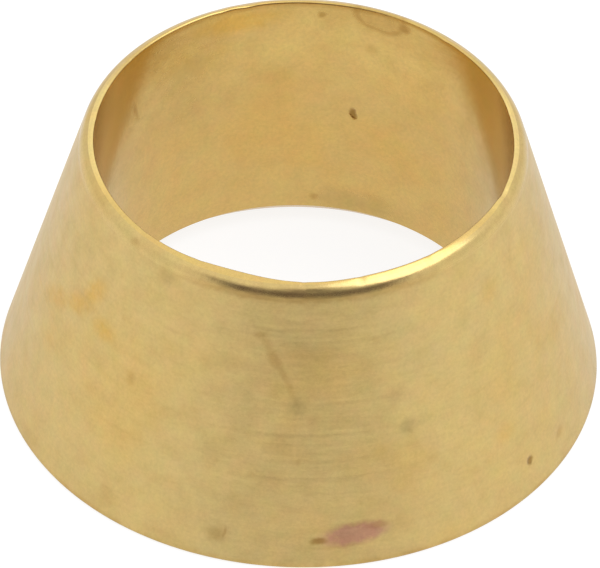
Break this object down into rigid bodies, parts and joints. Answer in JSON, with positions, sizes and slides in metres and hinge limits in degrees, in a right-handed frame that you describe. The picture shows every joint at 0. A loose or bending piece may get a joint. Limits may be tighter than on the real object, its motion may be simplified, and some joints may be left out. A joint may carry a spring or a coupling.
{
  "type": "conical compression olive",
  "caption": "Short turned brass sleeve with a plain through bore, one long outer taper to a thin rounded nose and a flat back face; it is squeezed onto a tube to seal a compression joint.",
  "frame": {"origin": "centre of the flat back face, on the bore axis", "axes": "+Z along the bore axis from the back face to the thin nose; +X and +Y lie in the back face, and the part is the same all round"},
  "size_m": [0.0148, 0.0148, 0.0073],
  "materials": {
    "brass": "satin turned, lightly stained"
  },
  "bodies": {
    "root": {"compression_olive": "brass"}
  },
  "joints": []
}
